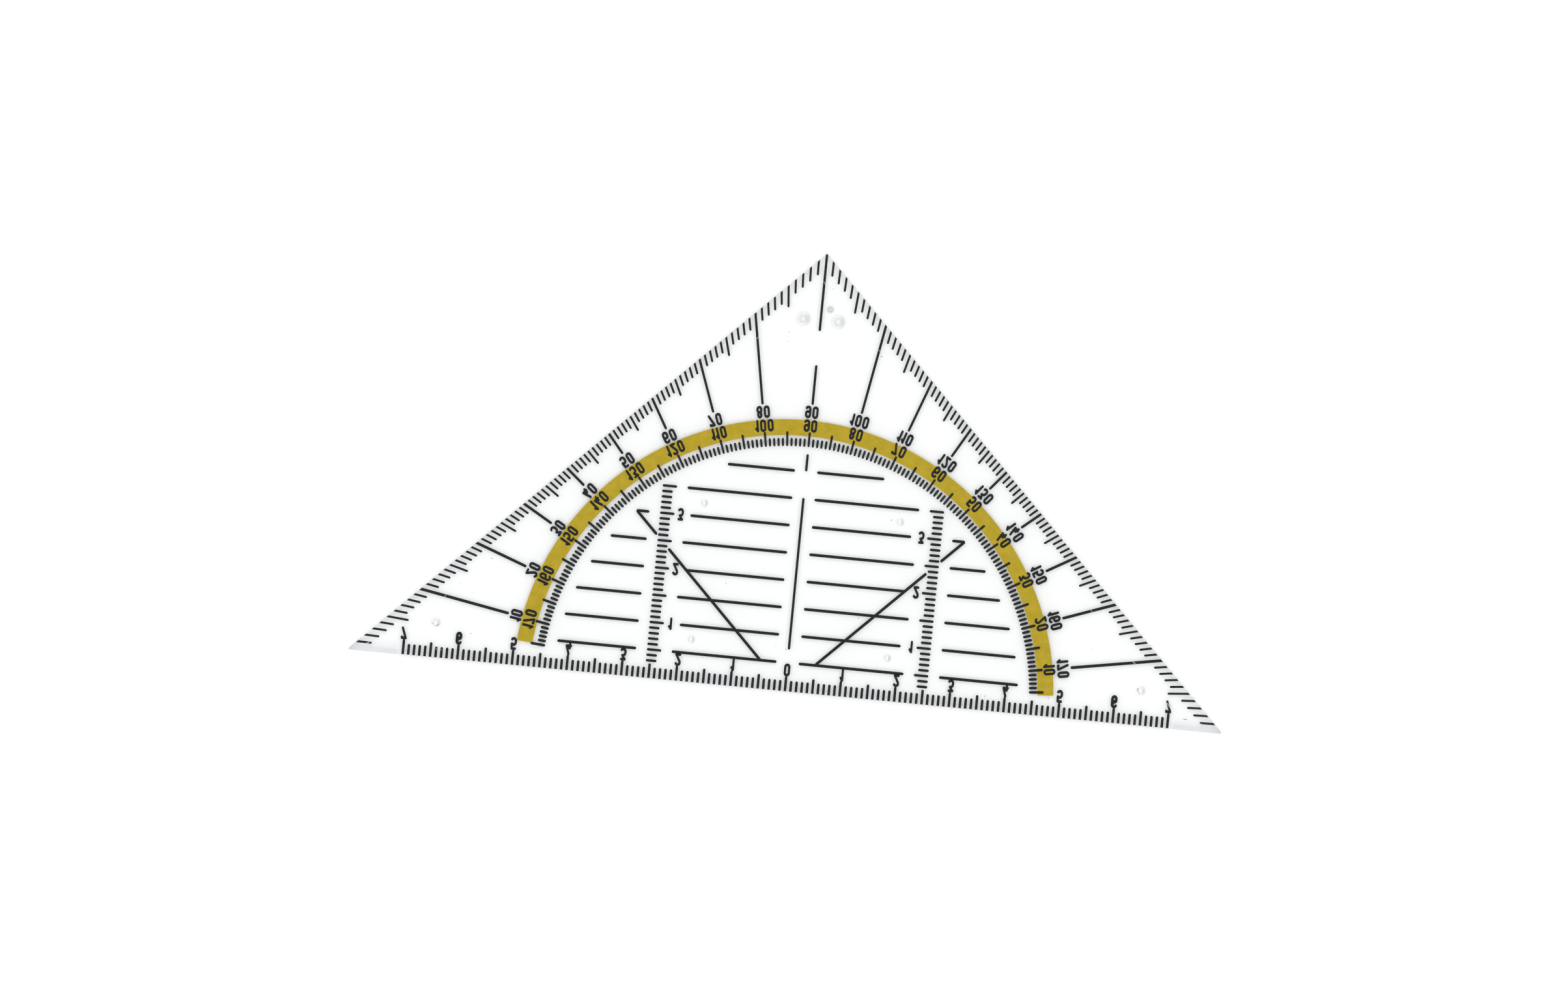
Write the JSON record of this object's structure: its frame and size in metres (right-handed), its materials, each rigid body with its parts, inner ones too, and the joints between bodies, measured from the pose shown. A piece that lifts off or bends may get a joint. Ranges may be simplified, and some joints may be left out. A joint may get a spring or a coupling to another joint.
{
  "type": "drafting triangle",
  "caption": "Clear right-angled drafting triangle with bevelled edges, printed millimetre and degree scales, parallel lines and a coloured protractor band.",
  "frame": {"origin": "the zero mark of the long scale, which is the protractor's centre, on the plane that the smooth face rests on", "axes": "+X along the long edge, +Y from the zero mark to the right-angled corner, +Z out of the printed face, so the numbers read the right way through the plate, from below"},
  "size_m": [0.1598, 0.0802, 0.0018],
  "materials": {
    "clear_plastic": "clear and polished, with fine scratches",
    "black_ink": "charcoal print on raised lines, lightly scratched",
    "olive_ink": "translucent olive yellow print"
  },
  "bodies": {
    "root": {"clear_plate": "clear_plastic", "angle_band": "olive_ink", "long_edge_scale": "black_ink", "protractor_scale": "black_ink", "centre_line": "black_ink", "left_leg_scale": "black_ink", "right_leg_scale": "black_ink", "left_angle_rays": "black_ink", "right_angle_rays": "black_ink", "left_inner_lines": "black_ink", "right_inner_lines": "black_ink", "left_outer_lines": "black_ink", "right_outer_lines": "black_ink", "left_height_scale": "black_ink", "right_height_scale": "black_ink"}
  },
  "joints": []
}
